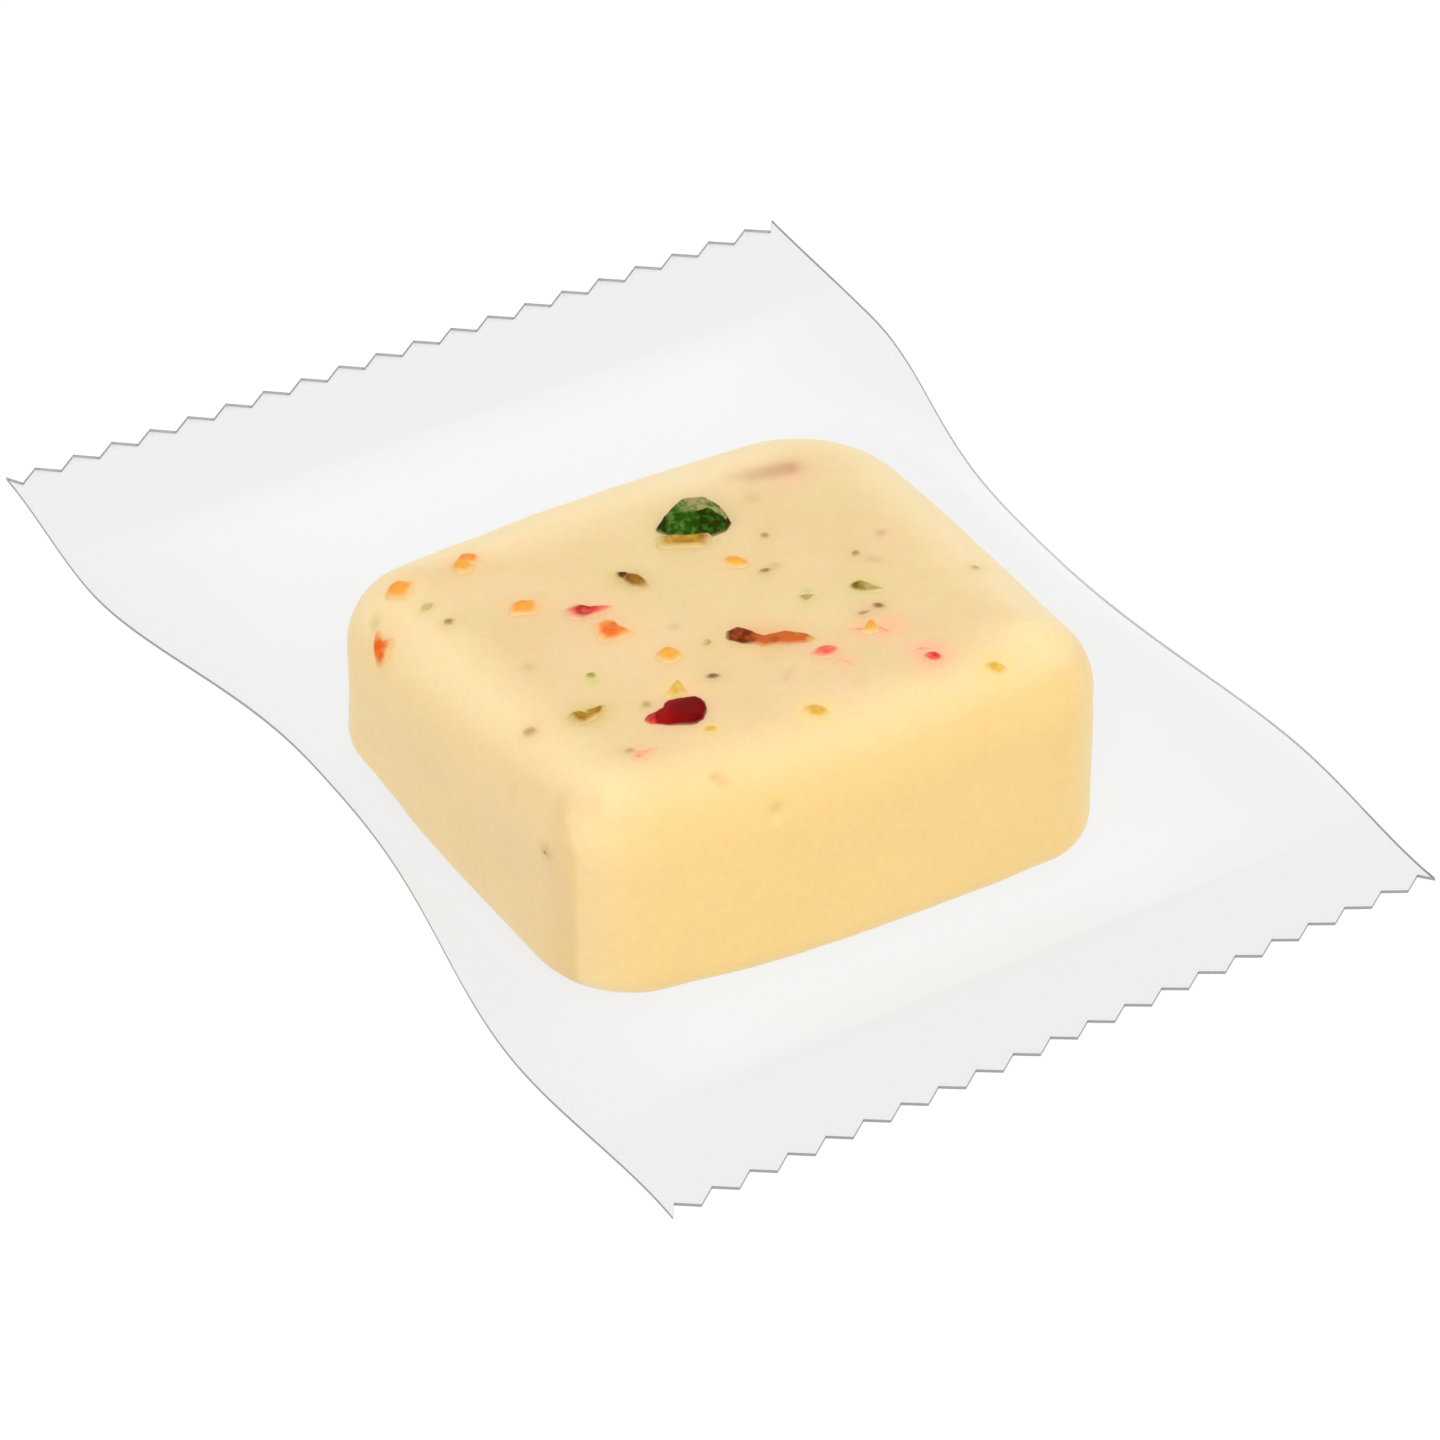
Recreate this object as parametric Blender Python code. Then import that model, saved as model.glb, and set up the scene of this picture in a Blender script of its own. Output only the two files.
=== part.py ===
"""Barfi, a milk sweet, sealed in a clear film pouch.

The pouch is a lay-flat tube of film, heat-sealed at both ends and cut there in a zigzag. One hand-cut
block of sweet lies inside. The film is stretched over the block: it runs almost straight from the
rounded top and bottom edges of the block to the flat end seals and to the folds along the sides, and
the block draws those side folds in around its middle. The sealed pouch is one filled solid with the
outer shape of the film.

Units are metres, with +Z up. X runs along the zigzag ends and Y along the tube, with the front seal at
-Y. The origin is at the bottom centre, on the surface that the pouch lies on.
"""

import math

import bmesh
import bpy

MM = 0.001

# The film tube and its end seals. The first notch is a share of a tooth in from each side fold
POUCH_LENGTH = 82.8 * MM
SEAL_BAND = 8 * MM
SEAL_THICKNESS = 0.5 * MM
WHOLE_TEETH = 20
FIRST_NOTCH = 0.25
TOOTH_DEPTH = 1 * MM

# Places along the tube where the side folds are at their narrowest or widest, from the front end to the
# back end, and how far the -X and +X folds are from the middle there. The block draws them in at DRAWN_IN
FOLD_PLACES = (-POUCH_LENGTH / 2, -25 * MM, 4.7 * MM, 29 * MM, POUCH_LENGTH / 2)
LEFT_FOLD = (27.3 * MM, 28.7 * MM, 25.4 * MM, 29.3 * MM, 28.6 * MM)
RIGHT_FOLD = (27.4 * MM, 28.4 * MM, 26 * MM, 29.3 * MM, 29.1 * MM)
DRAWN_IN = 2
DRAWN_FLATNESS = 1.35

# Heights of the seals and side folds: an end rises or tilts a little, lifting its +X corner
SEAL_HEIGHT = 8.4 * MM
BACK_RISE = 0.5 * MM
BACK_TILT = -0.45 * MM
FRONT_RISE = 0.55 * MM
FRONT_TILT = 1.9 * MM

# The block of sweet, a little out of square, bowed out at its sides and thicker at the front
SWEET_LENGTH = 37.8 * MM
SWEET_WIDTH = 33.6 * MM
SWEET_HEIGHT = 16.4 * MM
SWEET_BOW_X = 0.35 * MM
SWEET_BOW_Y = 1.2 * MM
FRONT_LEFT_CORNER = 6 * MM
BACK_LEFT_CORNER = 4.5 * MM
FRONT_RIGHT_CORNER = 4.5 * MM
BACK_RIGHT_CORNER = 8 * MM
SWEET_CENTRE = (0.1 * MM, -0.5 * MM)
SWEET_TURN = math.radians(-3.2)
SWEET_SKEW = -0.052
SWEET_SLOPE_X = 0.027
SWEET_SLOPE_Y = -0.066

# How the film lies on the block: gap above it, and how far inside its outline the film turns down
FILM_GAP = 0.9 * MM
TOP_INSET = 2.4 * MM
BOTTOM_INSET = 0.6 * MM
SIDE_BULGE = 0.3
END_BULGE = 0.1
HIP_SOFTNESS = 0.3
EDGE_SOFTNESS = 0.2

# Mesh fineness: rows of quads along the seals, slopes and middle; the teeth set the columns
SEAL_ROWS = 3
SLOPE_ROWS = 12
MIDDLE_ROWS = 18
MIDDLE_REACH = 18 * MM

FILM_COLOUR = (0.86, 0.86, 0.85, 1)
FILM_ROUGHNESS = 0.25
CREASE_ANGLE = math.radians(35)

POUCH_WIDTH = max(LEFT_FOLD) + max(RIGHT_FOLD)
SEAL_START = POUCH_LENGTH / 2 - SEAL_BAND
TEETH_ACROSS = WHOLE_TEETH + 2 * FIRST_NOTCH


def soft_minimum(a, b, softness):
    """The smaller of two numbers, with the corner between them rounded."""
    near = max(softness - abs(a - b), 0)
    return min(a, b) - near * near / (4 * softness)


def smooth_step(share):
    """0 to 1 with level ends."""
    share = min(max(share, 0), 1)
    return share * share * (3 - 2 * share)


def fold_distance(y, fold):
    """How far a side fold is from the middle at y: a smooth curve, flatter where the block draws it in."""
    stretch = 0
    while stretch < len(fold) - 2 and y > FOLD_PLACES[stretch + 1]:
        stretch += 1
    start, stop = FOLD_PLACES[stretch], FOLD_PLACES[stretch + 1]
    share = smooth_step((y - start) / (stop - start))
    if stretch == DRAWN_IN:
        share = share ** DRAWN_FLATNESS
    elif stretch == DRAWN_IN - 1:
        share = 1 - (1 - share) ** DRAWN_FLATNESS
    return fold[stretch] + share * (fold[stretch + 1] - fold[stretch])


def seal_plane(x, y):
    """Height of the middle of the seals and side folds."""
    rise, tilt = (BACK_RISE, BACK_TILT) if y > 0 else (FRONT_RISE, FRONT_TILT)
    lean = (2 * y / POUCH_LENGTH) ** 2
    return SEAL_HEIGHT + lean * (rise + tilt * 2 * x / POUCH_WIDTH)


def bow_scale(bow, half_width, place, half_length):
    """How much wider than its corners the block is at a place along a bowed side."""
    from_middle = min(abs(place) / half_length, 1)
    return 1 + bow / half_width * (1 - from_middle ** 2) ** 2


def corner_radius(along, across):
    """Radius of the corner of the block in this quarter of its plan."""
    if across < 0:
        return FRONT_LEFT_CORNER if along < 0 else FRONT_RIGHT_CORNER
    return BACK_LEFT_CORNER if along < 0 else BACK_RIGHT_CORNER


def to_sweet(x, y, inset):
    """Distance to the outline of the block shrunk by inset: below zero inside it."""
    dx = x - SWEET_CENTRE[0]
    dy = y - SWEET_CENTRE[1]
    bowed_across = dy * math.cos(SWEET_TURN) - dx * math.sin(SWEET_TURN)
    bowed_along = dx * math.cos(SWEET_TURN) + dy * math.sin(SWEET_TURN) - SWEET_SKEW * bowed_across
    half_x, half_y = SWEET_LENGTH / 2, SWEET_WIDTH / 2
    along = bowed_along / bow_scale(SWEET_BOW_X, half_x, bowed_across, half_y)
    across = bowed_across / bow_scale(SWEET_BOW_Y, half_y, bowed_along, half_x)
    radius = corner_radius(along, across)
    past_x = abs(along) - half_x + radius
    past_y = abs(across) - half_y + radius
    outside = math.hypot(max(past_x, 0), max(past_y, 0))
    return outside + min(max(past_x, past_y), 0) - radius + inset


def sweet_top(x, y):
    """Height of the top of the block."""
    return (
        SWEET_HEIGHT
        + SWEET_SLOPE_X * (x - SWEET_CENTRE[0])
        + SWEET_SLOPE_Y * (y - SWEET_CENTRE[1])
    )


def bulged_slope(from_edge, to_block, bulge):
    """Rise of the film from an edge of the pouch, 0, to the block, 1, bulging a little outwards."""
    share = from_edge / (from_edge + to_block)
    return share * (1 + bulge * max(1 - share, 0))


def film_lift(x, y, inset):
    """How far the film has left the plane of the seals: 0 on a seal or side fold, 1 on the block."""
    from_side = min(x + fold_distance(y, LEFT_FOLD), fold_distance(y, RIGHT_FOLD) - x)
    from_seal = SEAL_START - abs(y)
    if min(from_side, from_seal) <= 0:
        return 0
    to_block = to_sweet(x, y, inset)
    side = bulged_slope(from_side, to_block, SIDE_BULGE)
    end = bulged_slope(from_seal, to_block, END_BULGE)
    hip = soft_minimum(side, end, HIP_SOFTNESS * min(side, end))
    return soft_minimum(hip, 1, EDGE_SOFTNESS) if hip > 1 - EDGE_SOFTNESS else hip


def top_point(x, y):
    """A point of the upper film."""
    plane = seal_plane(x, y) + SEAL_THICKNESS / 2
    rise = sweet_top(x, y) + FILM_GAP - plane
    return (x, y, plane + rise * film_lift(x, y, TOP_INSET))


def bottom_point(x, y):
    """A point of the lower film, which lies flat under the block."""
    plane = seal_plane(x, y) - SEAL_THICKNESS / 2
    return (x, y, plane * (1 - film_lift(x, y, BOTTOM_INSET)))


def row_places():
    """Y of each row of points before the zigzag is cut, from front to back."""
    end = POUCH_LENGTH / 2
    stretches = (
        (-end, -SEAL_START, SEAL_ROWS),
        (-SEAL_START, -MIDDLE_REACH, SLOPE_ROWS),
        (-MIDDLE_REACH, MIDDLE_REACH, MIDDLE_ROWS),
        (MIDDLE_REACH, SEAL_START, SLOPE_ROWS),
        (SEAL_START, end, SEAL_ROWS),
    )
    places = [-end]
    for start, stop, rows in stretches:
        places += [start + (stop - start) * k / rows for k in range(1, rows + 1)]
    return places


def column_places():
    """Each column of points as a share of the width: the side folds, and every notch and tip."""
    steps = range(2 * WHOLE_TEETH + 1)
    return [0] + [(FIRST_NOTCH + step / 2) / TEETH_ACROSS for step in steps] + [1]


def tooth_cut(share):
    """How far the zigzag cuts in at a share of the width: all its depth in a notch, 0 at a tip or corner."""
    teeth = min(share, 1 - share) * TEETH_ACROSS
    if teeth < FIRST_NOTCH:
        return TOOTH_DEPTH * teeth / FIRST_NOTCH
    return TOOTH_DEPTH * abs(1 - 2 * ((teeth - FIRST_NOTCH) % 1))


def plan_point(place, share):
    """X and Y of a grid point: the rows of a seal close up where the zigzag cuts in."""
    into_seal = max(abs(place) - SEAL_START, 0) / SEAL_BAND
    y = math.copysign(abs(place) - into_seal * tooth_cut(share), place)
    left = -fold_distance(y, LEFT_FOLD)
    right = fold_distance(y, RIGHT_FOLD)
    return left + share * (right - left), y


def add_sheet(bm, point, facing_up):
    """One sheet of film as a grid of quads."""
    columns = column_places()
    rows = []
    for place in row_places():
        rows.append([bm.verts.new(point(*plan_point(place, share))) for share in columns])
    for near, far in zip(rows, rows[1:]):
        for k in range(len(columns) - 1):
            corners = [near[k], near[k + 1], far[k + 1], far[k]]
            bm.faces.new(corners if facing_up else corners[::-1])


def film_material():
    """Clear, slightly grey film."""
    material = bpy.data.materials.new("clear_film")
    material.use_nodes = True
    shader = material.node_tree.nodes["Principled BSDF"]
    shader.inputs["Base Color"].default_value = FILM_COLOUR
    shader.inputs["Roughness"].default_value = FILM_ROUGHNESS
    shader.inputs["Metallic"].default_value = 0
    material.diffuse_color = FILM_COLOUR
    return material


def make_pouch():
    """Upper and lower film, joined along the side folds and the zigzag ends."""
    bm = bmesh.new()
    add_sheet(bm, top_point, facing_up=True)
    add_sheet(bm, bottom_point, facing_up=False)
    rims = [edge for edge in bm.edges if edge.is_boundary]
    bmesh.ops.bridge_loops(bm, edges=rims)
    bmesh.ops.recalc_face_normals(bm, faces=bm.faces)
    mesh = bpy.data.meshes.new("sealed_pouch")
    bm.to_mesh(mesh)
    bm.free()
    mesh.materials.append(film_material())
    mesh.shade_smooth()
    mesh.set_sharp_from_angle(angle=CREASE_ANGLE)
    pouch = bpy.data.objects.new("sealed_pouch", mesh)
    bpy.context.scene.collection.objects.link(pouch)


def main():
    for obj in list(bpy.data.objects):
        bpy.data.objects.remove(obj)
    make_pouch()


main()
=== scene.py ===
"""Looks of a barfi in a sealed clear pouch.

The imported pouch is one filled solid. Here clear film of the same shape takes its place, around a block
of milk sweet with chopped nuts, fruit and petals pressed into its top. Units are metres, with +Z up.
"""

import math
import random

import bmesh
import bpy
from mathutils import Matrix, Vector, noise
from mathutils.bvhtree import BVHTree


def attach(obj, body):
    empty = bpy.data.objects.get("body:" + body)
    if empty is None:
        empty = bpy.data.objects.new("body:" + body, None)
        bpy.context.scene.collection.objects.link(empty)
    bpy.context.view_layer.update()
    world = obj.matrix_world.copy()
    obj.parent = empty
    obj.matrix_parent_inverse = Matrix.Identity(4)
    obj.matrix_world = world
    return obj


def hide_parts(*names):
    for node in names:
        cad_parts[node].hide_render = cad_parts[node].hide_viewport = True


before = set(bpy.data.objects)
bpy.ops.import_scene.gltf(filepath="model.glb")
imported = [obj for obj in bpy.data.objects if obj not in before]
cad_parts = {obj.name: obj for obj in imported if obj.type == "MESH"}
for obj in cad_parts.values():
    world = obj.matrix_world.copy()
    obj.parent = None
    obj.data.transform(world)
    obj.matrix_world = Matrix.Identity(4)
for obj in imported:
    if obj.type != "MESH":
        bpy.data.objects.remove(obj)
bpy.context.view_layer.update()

MM = 0.001

# Camera: a long lens from the front left, above. The aim moves right and up so that the pouch fills the frame
CAMERA_AZIMUTH = math.radians(-30.66)
CAMERA_ELEVATION = math.radians(38.5)
CAMERA_DISTANCE = 765.6 * MM
CAMERA_LENS = 300
CAMERA_SENSOR = 36
AIM_RIGHT = 0.459 * MM
AIM_UP = 4.78 * MM

# The film tube and its end seals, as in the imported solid, but with seals as thin as film
POUCH_LENGTH = 82.8 * MM
SEAL_BAND = 8 * MM
SEAL_THICKNESS = 0.22 * MM
WHOLE_TEETH = 20
FIRST_NOTCH = 0.25
TOOTH_DEPTH = 1 * MM

# Places along the tube where the side folds are at their narrowest or widest, and how far they are from
# the middle there
FOLD_PLACES = (-POUCH_LENGTH / 2, -25 * MM, 4.7 * MM, 29 * MM, POUCH_LENGTH / 2)
LEFT_FOLD = (27.3 * MM, 28.7 * MM, 25.4 * MM, 29.3 * MM, 28.6 * MM)
RIGHT_FOLD = (27.4 * MM, 28.4 * MM, 26 * MM, 29.3 * MM, 29.1 * MM)
DRAWN_IN = 2
DRAWN_FLATNESS = 1.35

# Heights of the seals and side folds
SEAL_HEIGHT = 8.4 * MM
BACK_RISE = 0.5 * MM
BACK_TILT = -0.45 * MM
FRONT_RISE = 0.55 * MM
FRONT_TILT = 1.9 * MM

POUCH_WIDTH = max(LEFT_FOLD) + max(RIGHT_FOLD)
SEAL_START = POUCH_LENGTH / 2 - SEAL_BAND
TEETH_ACROSS = WHOLE_TEETH + 2 * FIRST_NOTCH

# How the film lies on the block
FILM_GAP = 0.9 * MM
TOP_INSET = 2.4 * MM
BOTTOM_INSET = 0.6 * MM
SIDE_BULGE = 0.3
END_BULGE = 0.1
HIP_SOFTNESS = 0.3
EDGE_SOFTNESS = 0.2

# Faint folds that the stretched film takes between the block and its seals
FOLD_DEPTH = 0.12 * MM
FOLD_COUNT = 5

# Rows and columns of the film's mesh
SEAL_ROWS = 6
SLOPE_ROWS = 26
MIDDLE_ROWS = 40
MIDDLE_REACH = 18 * MM
COLUMNS_PER_CUT = 4

# Haze of the film: full in the seals, and a share of it along the side folds
HAZE_FADE = 3.5 * MM
SIDE_HAZE = 0.85
SIDE_HAZE_REACH = 15 * MM

# The block of sweet, a little out of square, bowed out at its sides and thicker at the front
SWEET_LENGTH = 37.8 * MM
SWEET_WIDTH = 33.6 * MM
SWEET_HEIGHT = 16.4 * MM
SWEET_BASE = 0.15 * MM
SWEET_BOW_X = 0.35 * MM
SWEET_BOW_Y = 1.2 * MM
FRONT_LEFT_CORNER = 6 * MM
BACK_LEFT_CORNER = 4.5 * MM
FRONT_RIGHT_CORNER = 4.5 * MM
BACK_RIGHT_CORNER = 8 * MM
SWEET_TOP_EDGE = 5.6 * MM
SWEET_BOTTOM_EDGE = 2.8 * MM
SWEET_CENTRE = (0.1 * MM, -0.5 * MM)
SWEET_TURN = math.radians(-3.2)
SWEET_SKEW = -0.052
SWEET_SLOPE_X = 0.027
SWEET_SLOPE_Y = -0.066

# Steps of the block's mesh round an edge, across the flat and up the walls
EDGE_STEPS = 18
FLAT_STEPS_X = 60
FLAT_STEPS_Y = 52
WALL_ROWS = 30

# Unevenness of the hand-cut block: how far it goes in or out, and how wide each swell is
SWELLS = (
    (0.16 * MM, 11 * MM),
    (0.06 * MM, 4 * MM),
    (0.02 * MM, 1.3 * MM),
)
PIT_DEPTH = 0.1 * MM
PIT_SPACING = 2.6 * MM
PIT_SHARE = 0.22

# How far the painted highlight along the rim of the top reaches in over the top from each side, and how far it
# reaches down the left wall, at its front and back ends, and down the other walls
HIGHLIGHT_REACH_FRONT = 5 * MM
HIGHLIGHT_REACH_LEFT = 5.8 * MM
HIGHLIGHT_REACH_RIGHT = 7.5 * MM
HIGHLIGHT_REACH_BACK = 9.3 * MM
HIGHLIGHT_DROP_LEFT = (2.2 * MM, 4.9 * MM)
HIGHLIGHT_DROP = 3.5 * MM

# How strong the painted highlight along the rim is along the front edge, at its left and right ends, and along
# the left edge, set against 1
FRONT_HIGHLIGHT = (0.42, 1.1)
LEFT_HIGHLIGHT = 0.9

# Painted light and shade on the left wall: how much lighter than the lamps make it the wall is painted at its
# far and near ends, how much painted shade it takes before the line at the front left corner where that painted
# shade gives way to a painted highlight, and at which turn round that corner the line is. Near the top the line
# leans towards the left wall, down to a share of that turn
WALL_FAR = 0.8
WALL_NEAR = 0.1
WALL_SHADE = 0.55
WALL_FADE = 4 * MM
SHADE_LINE_TURN = math.radians(30)
SHADE_LINE_WIDTH = math.radians(7)
SHADE_LINE_LEAN = 0.25
SHADE_LINE_LEAN_HEIGHT = 5.5 * MM

# How strong the painted highlight on the front left corner still is half way up, set against 1 at its top and
# foot
CORNER_LOW = 0.5
CORNER_TOP_REACH = 6 * MM
CORNER_FOOT_REACH = 5 * MM

# Outlines of chopped pieces, each reaching 1 to the photo's right and left, away from the camera and back
OUTLINES = {
    "flame": ((1, -0.1), (0.3, 0.2), (-0.2, 0.9), (-0.7, 1), (-1, 0.4), (-0.85, -0.4), (-0.4, -1), (0.2, -0.7)),
    "horn": (
        (1, 0.2), (0.5, 0.35), (0, 0.4), (-0.45, 1), (-0.75, 0.95), (-1, -0.2), (-0.8, -0.9), (-0.2, -1),
        (0.3, -0.7), (0.5, -0.15),
    ),
    "wedge": ((1, -0.4), (0.1, 0.3), (-0.6, 1), (-1, 0.5), (-0.9, -0.6), (-0.3, -1), (0.5, -0.9)),
    "lens": ((1, 0), (0.5, 0.7), (-0.2, 1), (-0.8, 0.55), (-1, -0.1), (-0.5, -0.85), (0.3, -1), (0.8, -0.5)),
    "slab": ((1, 0.5), (0.9, 0.95), (-0.7, 1), (-1, 0.6), (-1, -0.7), (-0.8, -1), (0.9, -0.95), (1, -0.5)),
    "shred": ((1, 0.3), (0.4, 0.5), (0, 0.4), (-0.5, 1), (-1, 0.3), (-0.8, -0.6), (-0.3, -1), (0.3, -0.6)),
    "point": ((0.1, 1), (-0.35, 0.3), (-1, -0.8), (-0.5, -1), (0.5, -1), (1, -0.8), (0.4, 0.3)),
    "petal": (
        (1, 0), (1, 0.7), (0.76, 1), (0.06, 1), (-0.27, 0.9), (-0.42, 0.65), (-0.52, 0.12),
        (-0.8, 0.04), (-1, -0.12), (-1.03, -0.5), (-0.85, -0.9), (-0.27, -1), (0.7, -1), (0.95, -0.75),
    ),
    "sliver": (
        (1, -0.3), (0.7, 0.2), (0.4, 0.4), (-0.1, 0.5), (-0.6, 0.4), (-0.95, 0.1), (-0.93, -0.5), (-0.6, -1),
        (-0.1, -0.7), (0.2, -0.9), (0.7, -0.8),
    ),
}

# Chopped pieces on each side of the block. A row is a place in mm, x and y on the top and along and up on a
# wall, then length, width, turn in degrees from the photo's right, outline, and tones from left to right
CRIMSON_PETAL = {"top": (
    (-8.28, -9.6, 3.85, 2.8, 0, "petal", 1.0, 0.85, 0.45, 0.35, 0.25, 0.15, 0.05, 0.05, 0.0, 0.1),
)}
BROWN_SLIVER = {"top": (
    (1.1, -6.75, 4.4, 1.7, 0, "sliver", 0.45, 0.5, 0.6, 0.5, 0.45, 0.6, 0.55, 0.6, 0.65, 0.95, 1.0),
    (-0.5, -5.45, 3.3, 1.8, -5, "wedge", 0.0, 0.05, 0.0, 0.15, 0.3, 0.45),
)}
OLIVE_NUT = {"top": (
    (-13.3, -6.9, 2.2, 1.6, 15, "flame", 0.85, 0.55, 0.6, 0.75),
    (-12.4, -6.75, 1.8, 1.2, 38, "shred", 0.7, 0.55, 0.9),
    (-3.65, 4.75, 1.6, 1.0, -40, "lens", 0.22, 0.2, 0.25),
    (-3.4, 3.85, 2.7, 1.4, -43, "lens", 0.26, 0.24, 0.36, 0.6),
    (1.45, 5.95, 3.7, 1.7, -3, "slab", 0.6, 0.7, 0.65, 0.55, 0.65),
)}
GREEN_FLECKS = {"top": (
    (7.9, -4.7, 1.4, 1.3, 0, "lens", 0.1, 0.2),
    (8.4, -5.1, 2.5, 1.5, -4, "wedge", 0.2, 0.3, 0.6, 0.85, 0.95),
    (-10.8, -3.3, 0.9, 0.9, 0, "chopped", 0.75, 0.8),
    (-15.3, 9.5, 1.1, 0.8, 25, "lens", 0.8, 0.85),
    (4.5, -4.0, 1.3, 1.0, 180, "point", 0.75, 0.75),
    (-3.1, -4.5, 0.9, 0.9, 0, "chopped", 0.8, 0.8),
)}
ORANGE_FRUIT = {
    "top": (
        (-15.7, 12.3, 1.9, 1.5, -22, "slab", 0.4, 0.3, 0.35),
        (-11.6, 11.5, 1.6, 1.7, 0, "lens", 0.0, 0.15),
        (-10.9, 12.1, 1.6, 1.5, 25, "lens", 0.35, 0.65),
        (-10.6, 5.5, 1.8, 1.5, 0, "slab", 0.15, 0.3, 0.2),
        (-7.15, -0.1, 3.0, 2.6, -10, "flame", 0.45, 0.78, 0.88, 0.55, 0.2),
        (-5.7, -4.3, 1.9, 1.7, 0, "lens", 0.05, 0.15, 0.0),
        (2.9, 2.0, 2.0, 1.3, -25, "lens", 0.4, 0.2, 0.15, 0.3),
        (6.3, -8.8, 1.2, 1.7, 0, "point", 0.2, 0.1),
    ),
    "left": (
        (10.1, 12.4, 2.4, 2.7, 0, "horn", 0.8, 0.95, 0.9, 0.6),
    ),
}
PINK_PETAL = {"top": (
    (-7.35, 2.7, 3.8, 1.9, 0, "shred", 0.5, 0.6, 0.9, 1.0, 0.6, 0.3, 0.2),
    (2.5, -9.6, 2.2, 1.4, 20, "lens", 0.35, 0.65, 0.4),
    (3.0, -11.2, 1.5, 0.25, -38, "lens", 0.05, 0.0),
    (7.8, -13.8, 1.5, 1.1, 0, "lens", 0.3, 0.65, 0.3),
    (7.7, -12.9, 1.1, 0.45, 0, "lens", 0.05, 0.0),
    (-12.05, -12.15, 2.0, 0.9, 32, "shred", 0.4, 0.15, 0.05, 0.0),
    (5.4, -8.7, 1.3, 0.3, 0, "lens", 0.0, 0.1),
    (6.7, -9.7, 1.3, 0.35, -48, "lens", 0.05, 0.15),
)}
GOLD_FRUIT = {"top": (
    (-1.0, -14.3, 1.9, 1.1, 0, "lens", 0.4, 0.8, 0.5),
    (11.1, -16.0, 1.6, 0.9, 0, "lens", 0.8, 0.1),
    (-7.1, -7.6, 1.6, 2.1, 0, "point", 0.6, 0.5),
    (-7.5, -12.4, 1.0, 0.8, 30, "lens", 0.5, 0.6),
)}
DARK_SPECKS = {
    "top": (
        (9.5, -1.6, 0.9, 0.8, 0, "chopped", 0.5, 0.6),
        (7.8, -7.3, 1.2, 0.9, -10, "lens", 0.35, 0.5),
        (6.6, -7.4, 1.3, 0.6, 30, "lens", 0.8, 0.75),
        (-15.0, 7.2, 1.0, 0.9, 0, "chopped", 0.6, 0.65),
        (3.9, 0.1, 1.1, 0.8, 20, "lens", 0.5, 0.6),
        (5.9, 3.4, 0.8, 0.8, 0, "chopped", 0.6, 0.6),
        (-4.6, -7.8, 1.2, 0.8, 10, "lens", 0.0, 0.2),
        (15.1, -7.0, 0.8, 0.8, 0, "chopped", 0.8, 0.8),
        (-16.3, -5.3, 1.3, 0.8, -14, "lens", 0.75, 0.85),
        (-12.75, -11.5, 0.9, 0.8, 10, "lens", 0.7, 0.75),
    ),
    "left": (
        (-11.5, 11.1, 0.8, 0.8, 0, "chopped", 0.75, 0.75),
    ),
}

# The green nut: corners of its foot and of its top, in mm from its middle to the photo's right, away and up
NUT_PLACE = (2.8, 6.9)
NUT_FOOT = (
    (-2.6, -0.2), (-1.8, -0.85), (0, -1.45), (1.15, -1.25), (2.0, -0.7), (2.35, 0.2), (1.8, 1.0), (0, 1.5),
    (-1.4, 0.9),
)
NUT_TOP = (
    (-0.8, 1.2, 1.5), (0.6, 1.25, 1.5), (1.6, 0.95, 1.0), (2.1, 0.35, 0.5), (-0.65, 0.85, 1.45),
    (0.1, 0.05, 1.25), (1.05, 0.35, 1.15), (2.0, 0, 0.5), (-1.85, 0.2, 0.95),
)
NUT_SUNK = 0.4
NUT_BEVEL = 0.1 * MM
NUT_FLATNESS = math.radians(14)
NUT_ROUGHNESS = 0.05 * MM

# Which way a cut of the nut looks, and its tone then: tan on top, green at the front, brown at the right
NUT_CUTS = (
    ((0.0, -0.2, 1.0), 0.97),
    ((0.42, -0.15, 0.9), 0.86),
    ((-0.2, -0.42, 0.9), 0.68),
    ((-0.18, -0.62, 0.77), 0.53),
    ((0.1, -0.62, 0.77), 0.38),
    ((0.34, -0.52, 0.79), 0.34),
    ((-0.5, -0.6, 0.65), 0.3),
    ((0.8, -0.4, 0.45), 0.08),
    ((0.3, 1.0, 0.2), 0.6),
)
NUT_TONES = ((66, 34, 0), (26, 46, 0), (44, 88, 8), (90, 114, 52), (158, 144, 90))

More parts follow.
